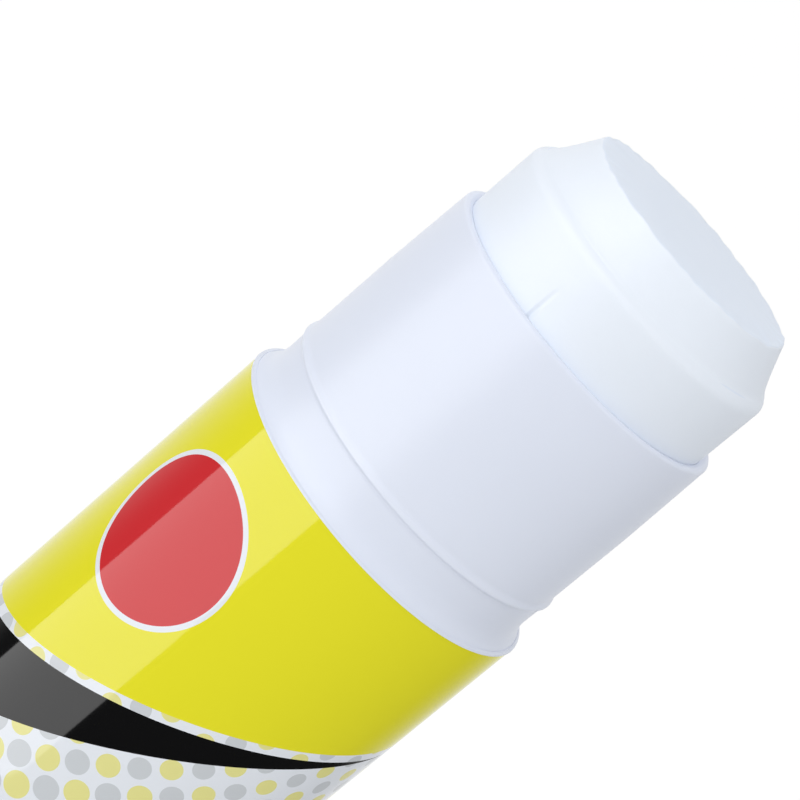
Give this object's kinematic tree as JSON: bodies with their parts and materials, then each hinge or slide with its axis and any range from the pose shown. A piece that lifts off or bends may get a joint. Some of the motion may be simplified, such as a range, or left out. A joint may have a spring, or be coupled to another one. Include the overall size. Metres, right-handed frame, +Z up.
{
  "type": "glue stick",
  "caption": "Twist-up glue stick, open: labelled round barrel with a tapered neck, glue column wound out past the mouth, and a ribbed turning knob that drives a lead screw and carrier.",
  "frame": {"origin": "centre of the knob's underside, on the axis of the stick", "axes": "+Z runs up the axis of the stick from the knob to the tip of the glue; +X and +Y lie across the stick, -Y towards the side of the label that the picture shows"},
  "size_m": [0.03, 0.03, 0.1176],
  "materials": {
    "tube_white": "smooth glossy white polypropylene",
    "sleeve_white": "smooth glossy white polypropylene",
    "label_film": "glossy printed film, mostly yellow",
    "knob_white": "smooth white polypropylene, ribbed for grip",
    "spindle_white": "plain white moulded plastic",
    "carrier_white": "plain white moulded plastic",
    "glue_mass": "slightly translucent bluish-white solid glue, satin"
  },
  "bodies": {
    "barrel": {"inner_tube": "tube_white", "outer_sleeve": "sleeve_white", "label": "label_film"},
    "knob": {"turning_knob": "knob_white", "spindle": "spindle_white"},
    "glue_carrier": {"carrier": "carrier_white", "glue": "glue_mass"}
  },
  "joints": [
    {"name": "knob_turn", "type": "hinge", "parent": "barrel", "child": "knob", "pos_m": [0, 0, 0], "axis": [0, 0, 1], "range_deg": [-482.4, 4849.2]},
    {"name": "glue_rise", "type": "slide", "parent": "barrel", "child": "glue_carrier", "axis": [0, 0, 1], "range_m": [-0.0067, 0.06735]}
  ],
  "couplings": [
    {"joint": "knob_turn", "follows": "glue_rise", "rad_per_m": 1256.6}
  ]
}
